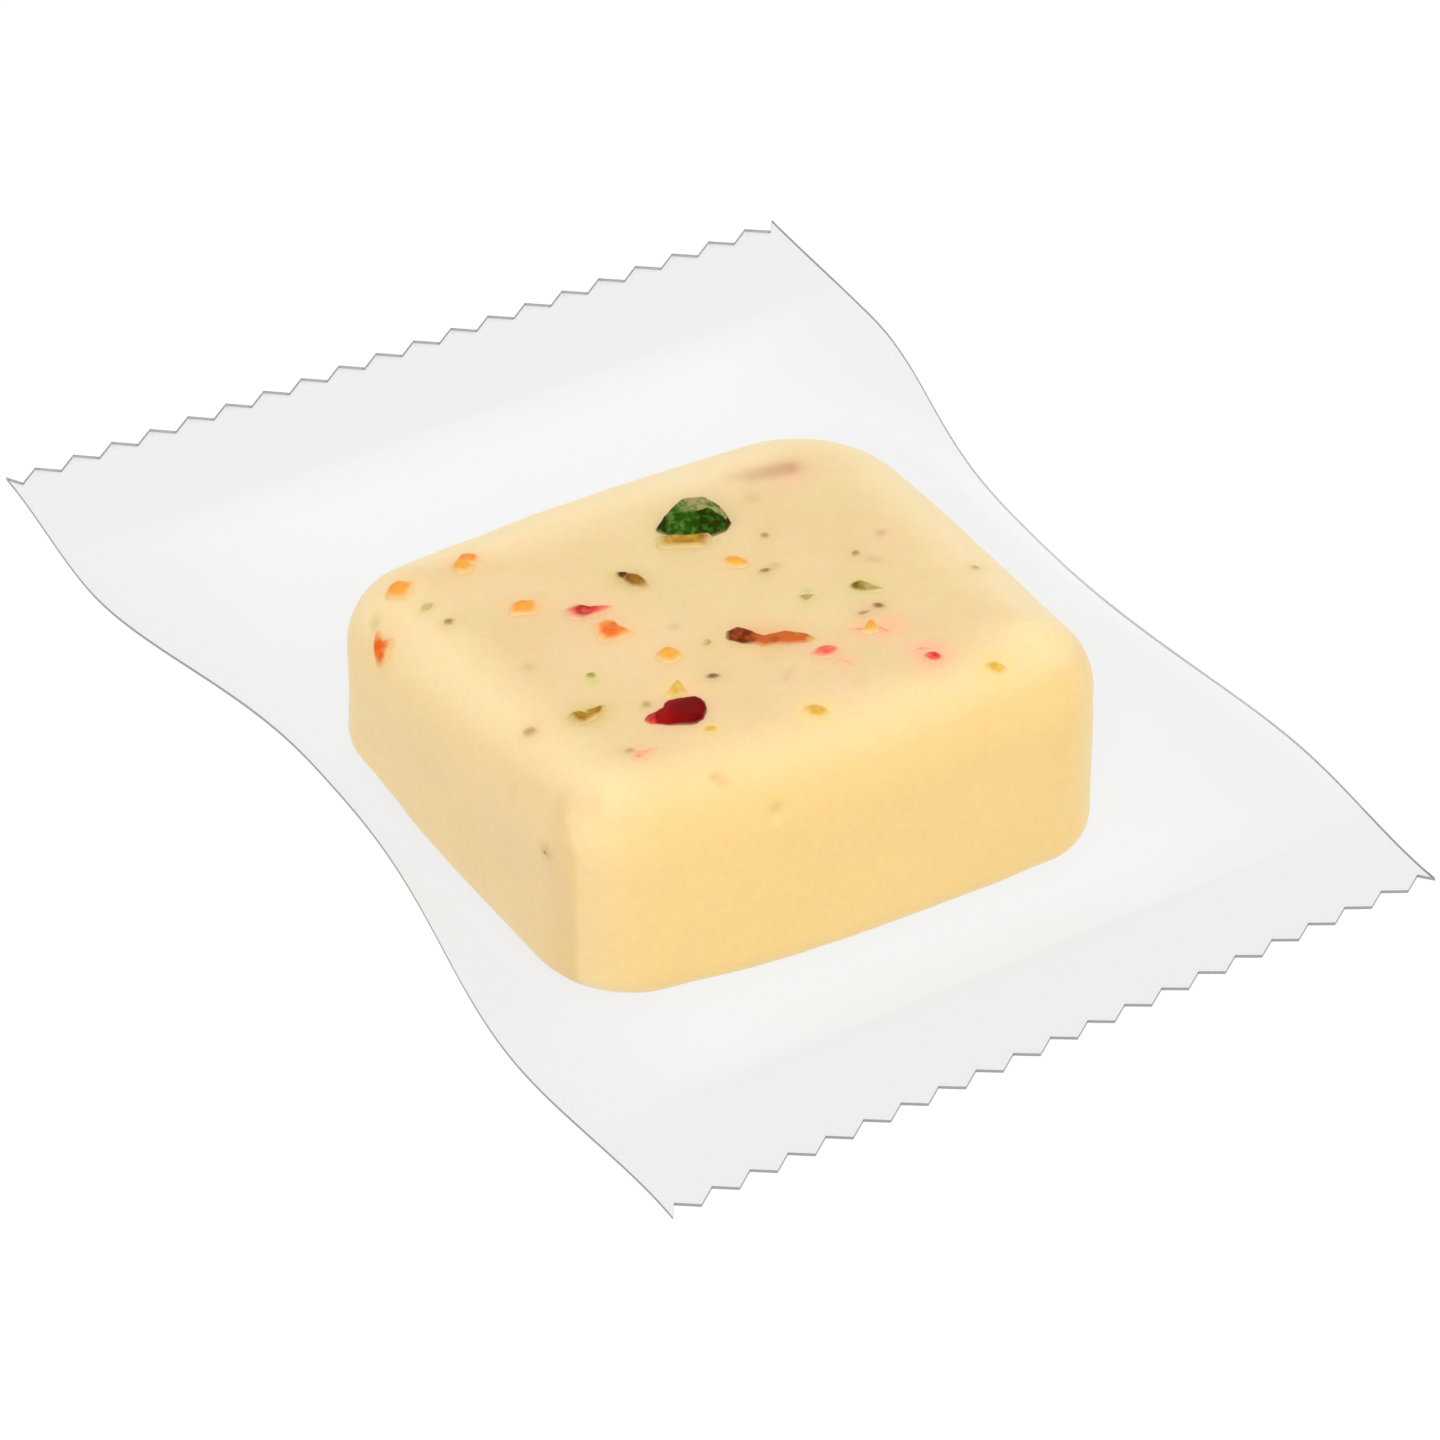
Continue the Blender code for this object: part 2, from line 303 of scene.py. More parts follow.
# Marks with no piece on them: on each side a place in mm, how wide each is, how strong, and its colour
MARKS = {
    "top": (
        (7.6, 10.1, 0.7, 0.45, (220, 184, 138)),
        (8.7, 9.6, 0.8, 0.7, (208, 168, 122)),
        (9.9, 9.3, 0.8, 0.75, (202, 156, 116)),
        (11.0, 8.9, 0.75, 0.88, (194, 146, 108)),
        (10.3, 8.1, 1.0, 0.4, (250, 190, 158)),
        (7.4, 7.5, 0.5, 0.45, (200, 180, 118)),
        (7.2, -9.4, 1.5, 0.5, (250, 180, 145)),
        (7.9, -13.4, 1.5, 0.5, (248, 176, 148)),
        (12.0, -0.6, 0.35, 0.8, (196, 158, 112)),
        (12.3, -1.2, 0.9, 0.4, (248, 196, 150)),
        (-9.9, 5.1, 1.2, 0.35, (250, 185, 120)),
        (10.0, -2.7, 0.4, 0.6, (200, 168, 122)),
        (10.4, -3.2, 0.35, 0.4, (212, 178, 128)),
        (-11.0, -4.0, 0.45, 0.7, (215, 200, 100)),
        (-9.6, -8.0, 0.5, 0.5, (200, 190, 110)),
        (-9.4, -7.8, 0.25, 0.8, (130, 110, 56)),
        (5.0, -3.2, 0.3, 0.6, (190, 180, 120)),
        (4.7, 0.2, 0.4, 0.7, (196, 182, 112)),
        (-3.9, -1.9, 0.4, 0.6, (205, 175, 130)),
        (-13.5, -0.2, 0.4, 0.65, (210, 170, 108)),
        (-16.2, -5.5, 1.2, 0.3, (252, 206, 158)),
        (-12.4, 1.3, 0.4, 0.4, (230, 180, 130)),
        (-0.4, -10.1, 0.4, 0.5, (222, 176, 142)),
        (-1.0, -10.6, 0.4, 0.5, (218, 172, 138)),
        (2.6, -13.6, 0.5, 0.5, (222, 194, 130)),
        (-0.9, -8.2, 0.5, 0.4, (216, 186, 128)),
        (-9.1, -15.45, 0.3, 0.42, (206, 168, 110)),
        (-8.8, -15.6, 0.3, 0.42, (206, 168, 110)),
        (-8.5, -15.75, 0.3, 0.42, (206, 168, 110)),
        (-6.0, -7.9, 0.9, 0.35, (244, 190, 150)),
    ),
    "left": (
        (12.0, 12.9, 0.45, 0.8, (196, 184, 120)),
        (-6.9, 12.8, 0.4, 0.4, (214, 178, 124)),
        (-11.5, 11.1, 0.38, 0.7, (178, 144, 88)),
    ),
    "front": (
        (-5.9, 13.6, 0.5, 0.7, (206, 180, 104)),
        (-5.9, 12.9, 0.4, 0.4, (255, 228, 160)),
    ),
}

# How far each kind of piece stands out of the block, as a share of its width and in all
FRUIT_RISE = (0.16, 0.26 * MM)
SPECK_RISE = (0.08, 0.08 * MM)
PETAL_RISE = (0.2, 0.42 * MM)
CHIP_SUNK = 0.35
CHIP_SQUARENESS = 0.55
CHIP_SOFTNESS = 1.5
CHIP_REACH = 2 * MM

# Sweet smeared over the rim of a piece: from how far out it starts and how much it covers there, and how
# much of its colour is plain sweet and not the stain
SOFT_RIM = (0.5, 0.95)
SPECK_RIM = (0.2, 0.9)
FIRM_RIM = (0.78, 0.55)
PETAL_RIM = (0.9, 0.5)
NUT_RIM = (0.8, 0.5)
RIM_HEIGHT = 0.6
RIM_SWEET = 0.65
CREAM = (0.800, 0.610, 0.318, 1)
CHIP_SEED = 11

# Kinds of chopped piece: piece, slot, finish, its tones, how it stands out, its places, the stain round it
# and how its rim is smeared
CHIP_KINDS = (
    (
        "crimson_petal_piece", "crimson_petal", "crimson_petal",
        ((108, 0, 0), (132, 0, 2), (158, 8, 12), (228, 84, 72)),
        PETAL_RISE, CRIMSON_PETAL, (246, 178, 140), PETAL_RIM,
    ),
    (
        "brown_nut_sliver", "brown_nut", "brown_nut",
        ((98, 32, 0), (148, 62, 8), (200, 98, 38), (194, 90, 34), (196, 150, 44)),
        FRUIT_RISE, BROWN_SLIVER, (238, 172, 112), FIRM_RIM,
    ),
    (
        "olive_nut_flecks", "brown_nut", "olive_nut",
        ((30, 20, 6), (136, 80, 6), (156, 110, 20), (184, 142, 48), (212, 172, 78)),
        FRUIT_RISE, OLIVE_NUT, (214, 188, 108), SOFT_RIM,
    ),
    (
        "green_nut_flecks", "green_nut", "green_fleck",
        ((108, 96, 4), (140, 122, 26), (172, 154, 82), (208, 186, 122)),
        SPECK_RISE, GREEN_FLECKS, (220, 202, 128), SOFT_RIM,
    ),
    (
        "orange_fruit_bits", "orange_fruit", "orange_fruit",
        ((232, 176, 68), (246, 156, 58), (244, 134, 58), (232, 98, 22)),
        FRUIT_RISE, ORANGE_FRUIT, (250, 196, 126), SOFT_RIM,
    ),
    (
        "pink_petal_shreds", "pink_petal", "pink_petal",
        ((244, 176, 132), (238, 124, 104), (232, 92, 84), (178, 42, 28)),
        FRUIT_RISE, PINK_PETAL, (248, 186, 146), SOFT_RIM,
    ),
    (
        "gold_fruit_flecks", "orange_fruit", "gold_fruit",
        ((236, 204, 120), (228, 178, 80), (202, 152, 54)),
        FRUIT_RISE, GOLD_FRUIT, (244, 214, 122), SOFT_RIM,
    ),
    (
        "dark_nut_specks", "brown_nut", "dark_speck",
        ((80, 42, 16), (122, 78, 38), (166, 126, 76), (214, 180, 126)),
        SPECK_RISE, DARK_SPECKS, (222, 190, 134), SPECK_RIM,
    ),
)

# Above each of these lengths, in mm, a piece has a finer mesh
LARGE_CHIPS = (2.4, 3.6)

# How far the colour of a piece bleeds into the sweet, as a share of its size and in mm, and how strongly
HALO_SHARE = 0.4
HALO_REACH = 0.45
HALO_STRENGTH = 0.55

# The film stands up where it passes over the green nut
TENT_PLACE = (3.1 * MM, 7.6 * MM)
TENT_RISE = 0.85 * MM
TENT_REACH = 3.2 * MM


def soft_minimum(a, b, softness):
    """The smaller of two numbers, with the corner between them rounded."""
    near = max(softness - abs(a - b), 0)
    return min(a, b) - near * near / (4 * softness)


def smooth_step(share):
    """0 to 1 with level ends."""
    share = min(max(share, 0), 1)
    return share * share * (3 - 2 * share)


def fold_distance(y, fold):
    """How far a side fold is from the middle at y: a smooth curve, flatter where the block draws it in."""
    stretch = 0
    while stretch < len(fold) - 2 and y > FOLD_PLACES[stretch + 1]:
        stretch += 1
    start, stop = FOLD_PLACES[stretch], FOLD_PLACES[stretch + 1]
    share = smooth_step((y - start) / (stop - start))
    if stretch == DRAWN_IN:
        share = share ** DRAWN_FLATNESS
    elif stretch == DRAWN_IN - 1:
        share = 1 - (1 - share) ** DRAWN_FLATNESS
    return fold[stretch] + share * (fold[stretch + 1] - fold[stretch])


def from_side_fold(x, y):
    """How far in from the nearer side fold a place is."""
    return min(x + fold_distance(y, LEFT_FOLD), fold_distance(y, RIGHT_FOLD) - x)


def seal_plane(x, y):
    """Height of the middle of the seals and side folds."""
    rise, tilt = (BACK_RISE, BACK_TILT) if y > 0 else (FRONT_RISE, FRONT_TILT)
    lean = (2 * y / POUCH_LENGTH) ** 2
    return SEAL_HEIGHT + lean * (rise + tilt * 2 * x / POUCH_WIDTH)


def bow_scale(bow, half_width, place, half_length):
    """How much wider than its corners the block is at a place along a bowed side."""
    from_middle = min(abs(place) / half_length, 1)
    return 1 + bow / half_width * (1 - from_middle ** 2) ** 2


def corner_radius(along, across):
    """Radius of the corner of the block in this quarter of its plan."""
    if across < 0:
        return FRONT_LEFT_CORNER if along < 0 else FRONT_RIGHT_CORNER
    return BACK_LEFT_CORNER if along < 0 else BACK_RIGHT_CORNER


def on_block(x, y):
    """A place on the block's own axes, with the bow of its sides taken out."""
    dx = x - SWEET_CENTRE[0]
    dy = y - SWEET_CENTRE[1]
    across = dy * math.cos(SWEET_TURN) - dx * math.sin(SWEET_TURN)
    along = dx * math.cos(SWEET_TURN) + dy * math.sin(SWEET_TURN) - SWEET_SKEW * across
    half_x, half_y = SWEET_LENGTH / 2, SWEET_WIDTH / 2
    return (
        along / bow_scale(SWEET_BOW_X, half_x, across, half_y),
        across / bow_scale(SWEET_BOW_Y, half_y, along, half_x),
    )


def past_corner(along, across):
    """How far a place is past the start of its corner's rounding, along and across."""
    radius = corner_radius(along, across)
    return abs(along) - SWEET_LENGTH / 2 + radius, abs(across) - SWEET_WIDTH / 2 + radius


def to_sweet(x, y, inset):
    """Distance to the outline of the block shrunk by inset: below zero inside it."""
    along, across = on_block(x, y)
    past_x, past_y = past_corner(along, across)
    outside = math.hypot(max(past_x, 0), max(past_y, 0))
    return outside + min(max(past_x, past_y), 0) - corner_radius(along, across) + inset


def sweet_top(x, y):
    """Height of the top of the block."""
    return (
        SWEET_HEIGHT
        + SWEET_SLOPE_X * (x - SWEET_CENTRE[0])
        + SWEET_SLOPE_Y * (y - SWEET_CENTRE[1])
    )


def bulged_slope(from_edge, to_block, bulge):
    """Rise of the film from an edge of the pouch, 0, to the block, 1, bulging a little outwards."""
    share = from_edge / (from_edge + to_block)
    return share * (1 + bulge * max(1 - share, 0))


def film_lift(x, y, inset):
    """How far the film has left the plane of the seals: 0 on a seal or side fold, 1 on the block."""
    from_side = from_side_fold(x, y)
    from_seal = SEAL_START - abs(y)
    if min(from_side, from_seal) <= 0:
        return 0
    to_block = to_sweet(x, y, inset)
    side = bulged_slope(from_side, to_block, SIDE_BULGE)
    end = bulged_slope(from_seal, to_block, END_BULGE)
    hip = soft_minimum(side, end, HIP_SOFTNESS * min(side, end))
    return soft_minimum(hip, 1, EDGE_SOFTNESS) if hip > 1 - EDGE_SOFTNESS else hip


def film_fold(x, y, lift):
    """Height of the faint folds that run out from the block through the free film."""
    turn = math.atan2(y, x)
    ring = Vector((math.cos(turn), math.sin(turn), 0)) * FOLD_COUNT
    return FOLD_DEPTH * noise.noise(ring) * 4 * lift * (1 - lift)


def top_point(x, y):
    """A point of the upper film."""
    plane = seal_plane(x, y) + SEAL_THICKNESS / 2
    lift = film_lift(x, y, TOP_INSET)
    from_nut = math.hypot(x - TENT_PLACE[0], y - TENT_PLACE[1])
    tent = TENT_RISE * math.exp(-((from_nut / TENT_REACH) ** 2))
    rise = sweet_top(x, y) + FILM_GAP + tent - plane
    return (x, y, plane + rise * lift + film_fold(x, y, lift))


def bottom_point(x, y):
    """A point of the lower film, which lies flat under the block."""
    plane = seal_plane(x, y) - SEAL_THICKNESS / 2
    lift = film_lift(x, y, BOTTOM_INSET)
    return (x, y, plane * (1 - lift) + film_fold(-x, y, lift) * (1 - lift))


def row_places():
    """Y of each row of points before the zigzag is cut, from front to back."""
    end = POUCH_LENGTH / 2
    stretches = (
        (-end, -SEAL_START, SEAL_ROWS),
        (-SEAL_START, -MIDDLE_REACH, SLOPE_ROWS),
        (-MIDDLE_REACH, MIDDLE_REACH, MIDDLE_ROWS),
        (MIDDLE_REACH, SEAL_START, SLOPE_ROWS),
        (SEAL_START, end, SEAL_ROWS),
    )
    places = [-end]
    for start, stop, rows in stretches:
        places += [start + (stop - start) * k / rows for k in range(1, rows + 1)]
    return places


def column_places():
    """Each column of points as a share of the width: the side folds, every notch and tip, and between."""
    steps = range(2 * WHOLE_TEETH + 1)
    marks_and_painted_light = [0] + [(FIRST_NOTCH + step / 2) / TEETH_ACROSS for step in steps] + [1]
    places = [0]
    for start, stop in zip(marks_and_painted_light, marks_and_painted_light[1:]):
        places += [start + (stop - start) * k / COLUMNS_PER_CUT for k in range(1, COLUMNS_PER_CUT + 1)]
    return places


def tooth_cut(share):
    """How far the zigzag cuts in at a share of the width: all its depth in a notch, 0 at a tip or corner."""
    teeth = min(share, 1 - share) * TEETH_ACROSS
    if teeth < FIRST_NOTCH:
        return TOOTH_DEPTH * teeth / FIRST_NOTCH
    return TOOTH_DEPTH * abs(1 - 2 * ((teeth - FIRST_NOTCH) % 1))


def plan_point(place, share):
    """X and Y of a grid point: the rows of a seal close up where the zigzag cuts in."""
    into_seal = max(abs(place) - SEAL_START, 0) / SEAL_BAND
    y = math.copysign(abs(place) - into_seal * tooth_cut(share), place)
    left = -fold_distance(y, LEFT_FOLD)
    right = fold_distance(y, RIGHT_FOLD)
    return left + share * (right - left), y


def film_haze(x, y):
    """How hazy the film is: 1 in a seal, less along the side folds, 0 in the middle."""
    seal = smooth_step(1 - (SEAL_START - abs(y)) / HAZE_FADE)
    side = SIDE_HAZE * smooth_step(1 - from_side_fold(x, y) / SIDE_HAZE_REACH)
    return max(seal, side)


def add_sheet(bm, point, facing_up):
    """One sheet of film as a grid of quads."""
    columns = column_places()
    rows = []
    for place in row_places():
        rows.append([bm.verts.new(point(*plan_point(place, share))) for share in columns])
    for near, far in zip(rows, rows[1:]):
        for k in range(len(columns) - 1):
            corners = [near[k], near[k + 1], far[k + 1], far[k]]
            bm.faces.new(corners if facing_up else corners[::-1])


def new_tree(name):
    """An empty material, and its node tree with only the output in it."""
    material = bpy.data.materials.new(name)
    material.use_nodes = True
    tree = material.node_tree
    tree.nodes.clear()
    tree.nodes.new("ShaderNodeOutputMaterial")
    return material, tree


def add_node(tree, kind, values=(), **settings):
    """A node with its settings, and its input sockets set to values or fed by other nodes' outputs."""
    node = tree.nodes.new("ShaderNode" + kind)
    for name, value in settings.items():
        setattr(node, name, value)
    for socket, value in dict(values).items():
        if isinstance(value, bpy.types.NodeSocket):
            tree.links.new(value, node.inputs[socket])
        else:
            node.inputs[socket].default_value = value
    return node


def mix_colours(tree, factor, a, b, blend_type="MIX"):
    """The output of a node that mixes two colours."""
    node = add_node(tree, "Mix", data_type="RGBA", blend_type=blend_type)
    for index, value in ((0, factor), (6, a), (7, b)):
        if isinstance(value, bpy.types.NodeSocket):
            tree.links.new(value, node.inputs[index])
        else:
            node.inputs[index].default_value = value
    return node.outputs[2]


def calculate(tree, operation, *values, clamp=False):
    """The output of a Math node."""
    node = add_node(tree, "Math", dict(enumerate(values)), operation=operation, use_clamp=clamp)
    return node.outputs[0]


def rescale(tree, value, low, high, to_low=0, to_high=1):
    """A value stretched smoothly from one range to another and held there."""
    values = {0: value, 1: low, 2: high, 3: to_low, 4: to_high}
    return add_node(tree, "MapRange", values, interpolation_type="SMOOTHSTEP").outputs[0]


def mesh_value(tree, name):
    """The output of a value that the mesh carries."""
    return add_node(tree, "Attribute", attribute_name=name).outputs["Fac"]


def finish_material(tree, surface):
    tree.links.new(surface, tree.nodes["Material Output"].inputs["Surface"])


def grain_group():
    """Grain shared by the sweet and all that is pressed into it: a mask of blotches, and a fine height."""
    group = bpy.data.node_groups.new("uneven_grain", "ShaderNodeTree")
    for name, kind in (("Blotch Size", "Float"), ("Grain Size", "Float"), ("Sharpness", "Float")):
        group.interface.new_socket(name, in_out="INPUT", socket_type="NodeSocket" + kind)
    for name in ("Blotches", "Height"):
        group.interface.new_socket(name, in_out="OUTPUT", socket_type="NodeSocketFloat")
    start = group.nodes.new("NodeGroupInput")
    end = group.nodes.new("NodeGroupOutput")
    place = add_node(group, "TexCoord").outputs["Object"]
    blotch_scale = calculate(group, "DIVIDE", 1.0, start.outputs["Blotch Size"])
    grain_scale = calculate(group, "DIVIDE", 1.0, start.outputs["Grain Size"])
    blotch = add_node(group, "TexNoise", {"Vector": place, "Scale": blotch_scale, "Detail": 3.0})
    grain = add_node(group, "TexNoise", {"Vector": place, "Scale": grain_scale, "Detail": 2.0})
    half = calculate(group, "DIVIDE", 0.25, start.outputs["Sharpness"])
    low = calculate(group, "SUBTRACT", 0.5, half)
    high = calculate(group, "ADD", 0.5, half)
    blotches = rescale(group, blotch.outputs[0], low, high)
    group.links.new(blotches, end.inputs["Blotches"])
    group.links.new(grain.outputs[0], end.inputs["Height"])
    return group


def add_grain(tree, group, blotch_size, grain_size, sharpness=1.0):
    """The grain group placed in a material with its own sizes."""
    node = tree.nodes.new("ShaderNodeGroup")
    node.node_tree = group
    node.inputs["Blotch Size"].default_value = blotch_size
    node.inputs["Grain Size"].default_value = grain_size
    node.inputs["Sharpness"].default_value = sharpness
    return node


def film_material():
    """Clear film: a faint grey veil, hazier in the seals, that mirrors more as it turns away."""
    clear, hazy = (0.958, 0.958, 0.959, 1), (0.922, 0.922, 0.923, 1)
    material, tree = new_tree("clear_film")
    haze = mesh_value(tree, "haze")
    veil = add_node(tree, "BsdfTransparent", {"Color": mix_colours(tree, haze, clear, hazy)})
    gloss = add_node(tree, "BsdfGlossy", {"Color": (1, 1, 1, 1), "Roughness": 0.18})
    facing = add_node(tree, "LayerWeight", {"Blend": 0.5}).outputs["Facing"]
    grazing = calculate(tree, "POWER", facing, 5.0)
    inside = add_node(tree, "NewGeometry").outputs["Backfacing"]
    strength = calculate(tree, "MULTIPLY_ADD", inside, -0.45, 0.55)
    mirror = calculate(tree, "MULTIPLY_ADD", grazing, strength, 0.001)
    surface = add_node(tree, "MixShader", {0: mirror, 1: veil.outputs[0], 2: gloss.outputs[0]})
    finish_material(tree, surface.outputs[0])
    return material


def cut_edge_material():
    """The film seen edge on, along the zigzag cuts and side folds, painted grey as the shade it shows there."""
    material, tree = new_tree("film_edge")
    wide = add_node(tree, "TexNoise", {"Scale": 400.0, "Detail": 2.0})
    # Painted grey: the clear film's own edge takes this grey as painted shade for how dark film looks seen edge
    # on
    tone = mix_colours(tree, wide.outputs[0], (0.20, 0.20, 0.21, 1), (0.34, 0.34, 0.35, 1))
    shader = add_node(tree, "BsdfPrincipled", {"Base Color": tone, "Roughness": 0.4})
    finish_material(tree, shader.outputs[0])
    return material


def make_film():
    """The pouch: upper and lower film, joined along the side folds and the zigzag ends."""
    bm = bmesh.new()
    add_sheet(bm, top_point, facing_up=True)
    add_sheet(bm, bottom_point, facing_up=False)
    rims = [edge for edge in bm.edges if edge.is_boundary]
    edge_faces = bmesh.ops.bridge_loops(bm, edges=rims)["faces"]
    for face in bm.faces:
        face.smooth = True
    for face in edge_faces:
        face.material_index = 1
        face.smooth = False
    bmesh.ops.recalc_face_normals(bm, faces=bm.faces)
    mesh = bpy.data.meshes.new("film_pouch")
    bm.to_mesh(mesh)
    bm.free()
    haze = mesh.attributes.new("haze", "FLOAT", "POINT")
    for vertex in mesh.vertices:
        haze.data[vertex.index].value = film_haze(vertex.co.x, vertex.co.y)
    mesh.materials.append(film_material())
    mesh.materials.append(cut_edge_material())
    pouch = bpy.data.objects.new("film_pouch", mesh)
    bpy.context.scene.collection.objects.link(pouch)
    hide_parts("sealed_pouch")
    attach(pouch, "root")
    return pouch


def block_lines(half, edge_radius, flat_steps):
    """Places of grid lines across the block, closer where its edge turns over."""
    turns = [math.pi / 2 * k / EDGE_STEPS for k in range(EDGE_STEPS)]
    rounded = [half - edge_radius * (1 - math.cos(turn)) for turn in turns]
    inner = half - edge_radius
    flat = [inner * (1 - k / flat_steps) for k in range(flat_steps)]
    outward = rounded + flat
    return [-place for place in outward] + [0] + outward[::-1]


def round_corner(along, across):
    """A point of a square-cornered plan, moved so that the corners turn round, and its depth inside."""
    past_x, past_y = past_corner(along, across)
    radius = corner_radius(along, across)
    furthest = max(past_x, past_y)
    if min(past_x, past_y) > 0:
        shrink = 1 - furthest / math.hypot(past_x, past_y)
        along -= math.copysign(past_x * shrink, along)
        across -= math.copysign(past_y * shrink, across)
    return along, across, radius - furthest


def in_pouch(along, across):
    """A place on the block's own axes, its sides now bowed out, as x and y in the pouch."""
    half_x, half_y = SWEET_LENGTH / 2, SWEET_WIDTH / 2
    bowed = along * bow_scale(SWEET_BOW_X, half_x, across, half_y)
    across *= bow_scale(SWEET_BOW_Y, half_y, along, half_x)
    along = bowed + SWEET_SKEW * across
    x = SWEET_CENTRE[0] + along * math.cos(SWEET_TURN) - across * math.sin(SWEET_TURN)
    y = SWEET_CENTRE[1] + along * math.sin(SWEET_TURN) + across * math.cos(SWEET_TURN)
    return x, y


def edge_drop(depth, radius):
    """How far a rounded edge has dropped from the face, at a depth in from the outline."""
    left = max(radius - depth, 0)
    return radius - math.sqrt(radius * radius - left * left)


def cap_points(edge_radius, height_of):
    """Rows of points of the block's top or bottom, out to where the wall begins."""
    rows = []
    for across_line in block_lines(SWEET_WIDTH / 2, edge_radius, FLAT_STEPS_Y):
        row = []
        for along_line in block_lines(SWEET_LENGTH / 2, edge_radius, FLAT_STEPS_X):
            along, across, depth = round_corner(along_line, across_line)
            x, y = in_pouch(along, across)
            row.append(Vector((x, y, height_of(x, y, edge_drop(max(depth, 0), edge_radius)))))
        rows.append(row)
    return rows


def border(rows):
    """The points round the border of a grid, in order."""
    right = [row[-1] for row in rows[1:-1]]
    left = [row[0] for row in rows[1:-1]]
    return rows[0] + right + rows[-1][::-1] + left[::-1]


def add_grid(bm, rows, facing_up):
    """A grid of quads through rows of points, and its vertices."""
    verts = [[bm.verts.new(point) for point in row] for row in rows]
    for near, far in zip(verts, verts[1:]):
        for k in range(len(near) - 1):
            corners = [near[k], near[k + 1], far[k + 1], far[k]]
            bm.faces.new(corners if facing_up else corners[::-1])
    return verts


def block_mesh():
    """The block as one closed mesh: two caps with rounded edges, and the wall between them."""
    bm = bmesh.new()
    top = add_grid(bm, cap_points(SWEET_TOP_EDGE, lambda x, y, drop: sweet_top(x, y) - drop), True)
    bottom = add_grid(bm, cap_points(SWEET_BOTTOM_EDGE, lambda x, y, drop: SWEET_BASE + drop), False)
    upper, lower = border(top), border(bottom)
    ring = lower
    for row in range(1, WALL_ROWS + 1):
        if row < WALL_ROWS:
            share = row / WALL_ROWS
            above = [bm.verts.new(low.co.lerp(high.co, share)) for low, high in zip(lower, upper)]
        else:
            above = upper
        for k in range(len(ring)):
            after = (k + 1) % len(ring)
            bm.faces.new([ring[k], ring[after], above[after], above[k]])
        ring = above
    bmesh.ops.recalc_face_normals(bm, faces=bm.faces)
    return bm


def swell(point):
    """How far the hand-cut surface stands out at a point."""
    out = sum(depth * noise.noise(point / size) for depth, size in SWELLS)
    cell = point / PIT_SPACING
    near = noise.voronoi(cell)[0][0]
    pit = smooth_step(1 - near / PIT_SHARE)
    return out - PIT_DEPTH * pit * smooth_step(noise.noise(cell * 0.5) + 0.5)


def shade_line_turn(to_top):
    """The turn round the front left corner at which the left wall's painted shade gives way to painted
    highlight, at a depth below the top.
    """
    return SHADE_LINE_TURN * (SHADE_LINE_LEAN + (1 - SHADE_LINE_LEAN) * smooth_step(to_top / SHADE_LINE_LEAN_HEIGHT))


def painted_edge_highlight(point):
    """How strongly a point is painted lighter as a highlight along the block's rounded edges and corners: 0 to
    1.
    """
    depth = -to_sweet(point.x, point.y, 0)
    to_top = sweet_top(point.x, point.y) - point.z
    along, across = on_block(point.x, point.y)
    past_x, past_y = past_corner(along, across)
    drop = HIGHLIGHT_DROP
    if along < 0 and past_x > past_y:
        near, far = HIGHLIGHT_DROP_LEFT
        drop = near + (far - near) * smooth_step(across / SWEET_WIDTH + 0.5)
    beside = HIGHLIGHT_REACH_LEFT if along < 0 else HIGHLIGHT_REACH_RIGHT
    beyond = HIGHLIGHT_REACH_FRONT if across < 0 else HIGHLIGHT_REACH_BACK
    to_end = smooth_step((past_y - past_x) / HIGHLIGHT_REACH_FRONT)
    reach = beside + (beyond - beside) * to_end
    top_edge = smooth_step(1 - to_top / drop) * smooth_step(1 - depth / reach)
    share = min(max(along / SWEET_LENGTH + 0.5, 0), 1)
    strength = LEFT_HIGHLIGHT if along < 0 else 1
    end_strength = FRONT_HIGHLIGHT[0] + share * (FRONT_HIGHLIGHT[1] - FRONT_HIGHLIGHT[0]) if across < 0 else 1
    strength += (end_strength - strength) * to_end
    # Past the line where the left wall's painted shade ends, the front left corner is painted lighter as a
    # highlight
    if along < 0 and across < 0:
        turn = math.atan2(past_y, past_x)
        corner = smooth_step(min(past_x, past_y) / (4.2 * MM))
        corner *= smooth_step((turn - shade_line_turn(to_top)) / SHADE_LINE_WIDTH)
        end = max(smooth_step(1.25 - to_top / CORNER_TOP_REACH), smooth_step(1 - point.z / CORNER_FOOT_REACH))
        corner *= CORNER_LOW + (1 - CORNER_LOW) * end
    else:
        corner = 0.7 * smooth_step(min(past_x, past_y) / (0.6 * corner_radius(along, across)))
    outer = smooth_step(1 - depth / (2.5 * MM))
    return max(min(2 * top_edge, 1) * strength, corner * outer)


def painted_wall_shading(point):
    """How much painted light the left wall of the block takes at a point, or painted shade if below 0."""
    along, across = on_block(point.x, point.y)
    past_x, past_y = past_corner(along, across)
    if along > 0 or past_x < 0:
        return 0
    half_y = SWEET_WIDTH / 2
    light = WALL_NEAR + (WALL_FAR - WALL_NEAR) * (across / half_y + 1) / 2
    if past_y > 0:
        turn = math.atan2(past_y, past_x)
        if across < 0:
            # crease holds the turn before which the wall is painted darker as shade, and past which that
            # painted shade ends
            crease = shade_line_turn(sweet_top(point.x, point.y) - point.z)
            light -= (light + WALL_SHADE) * smooth_step(turn / crease)
            light *= smooth_step(1 - (turn - crease) / SHADE_LINE_WIDTH)
        else:
            light *= math.cos(turn)
    depth = -to_sweet(point.x, point.y, 0)
    return light * smooth_step(1 - depth / WALL_FADE)


